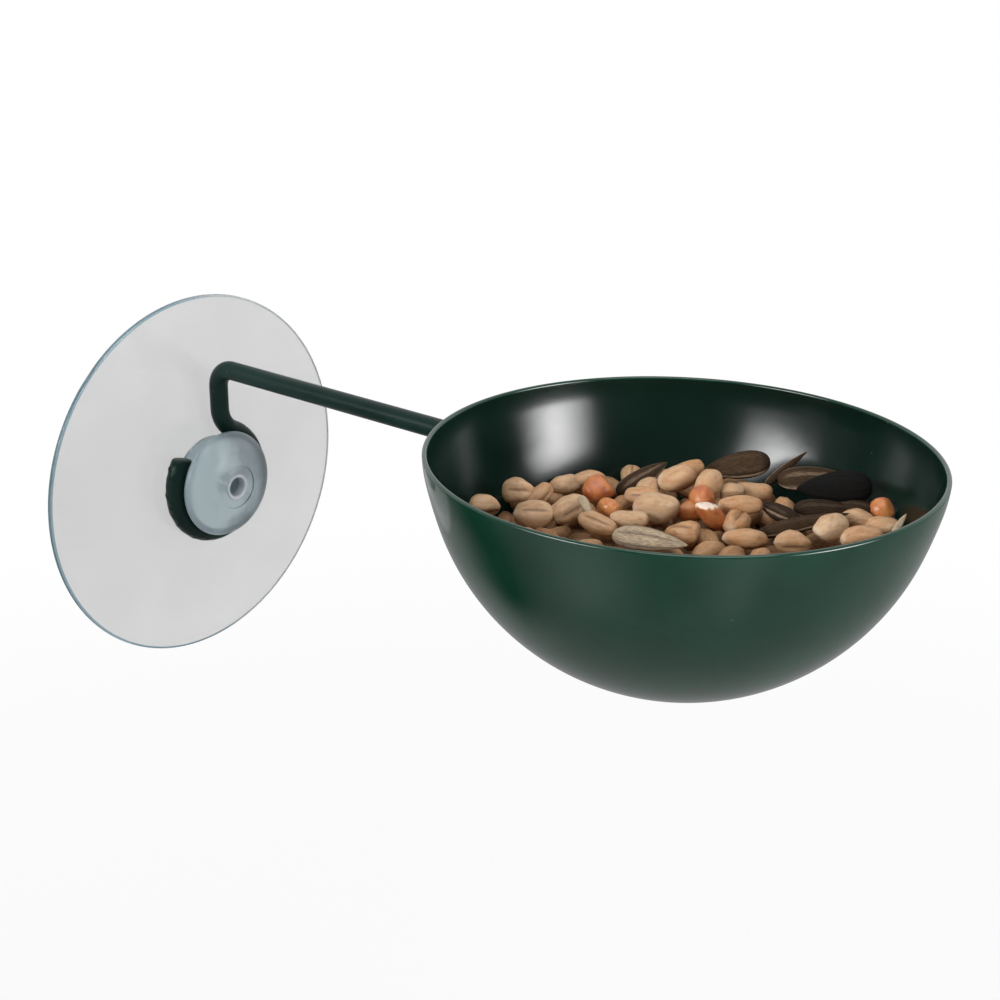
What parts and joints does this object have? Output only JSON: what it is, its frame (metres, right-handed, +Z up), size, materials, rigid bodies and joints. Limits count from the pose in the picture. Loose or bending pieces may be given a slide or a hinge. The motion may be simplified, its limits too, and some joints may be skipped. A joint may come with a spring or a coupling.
{
  "type": "window bird feeder",
  "caption": "Open round-bottomed steel seed bowl on a bent wire arm that hooks round the neck of a clear suction cup and swivels on it, filled with loose bird seed.",
  "frame": {"origin": "centre of the suction cup's sealing plane, where the cup's axis meets the window", "axes": "+Y along the cup's axis into the window, the feeder reaching out along -Y; +Z up; +X to the right of someone facing the window"},
  "size_m": [0.088, 0.1682, 0.0802],
  "materials": {
    "clear_vinyl": "soft clear vinyl, glossy, faintly blue in thick sections",
    "green_wire_paint": "dark green dipped paint, a little lumpy, satin gloss",
    "green_bowl_enamel": "dark green glossy enamel with slight orange peel",
    "wheat": "dry matt grain",
    "sunflower_husk": "dry striped husk, faint sheen",
    "maize": "waxy broken kernel"
  },
  "bodies": {
    "cup": {"suction_cup": "clear_vinyl"},
    "feeder": {"wire_arm": "green_wire_paint", "arm_weld": "green_wire_paint", "bowl": "green_bowl_enamel"},
    "seed_mix": {"seed_bed": "wheat", "wheat_grains": "wheat", "sunflower_seeds": "sunflower_husk", "maize_pieces": "maize"}
  },
  "joints": [
    {"name": "arm_swivel", "type": "hinge", "parent": "cup", "child": "feeder", "pos_m": [0, -0.00582, 0], "axis": [0, -1, 0], "continuous": true},
    {"name": "seed_lift", "type": "slide", "parent": "feeder", "child": "seed_mix", "axis": [0, 0, 1], "range_m": [0, 0.06]}
  ]
}
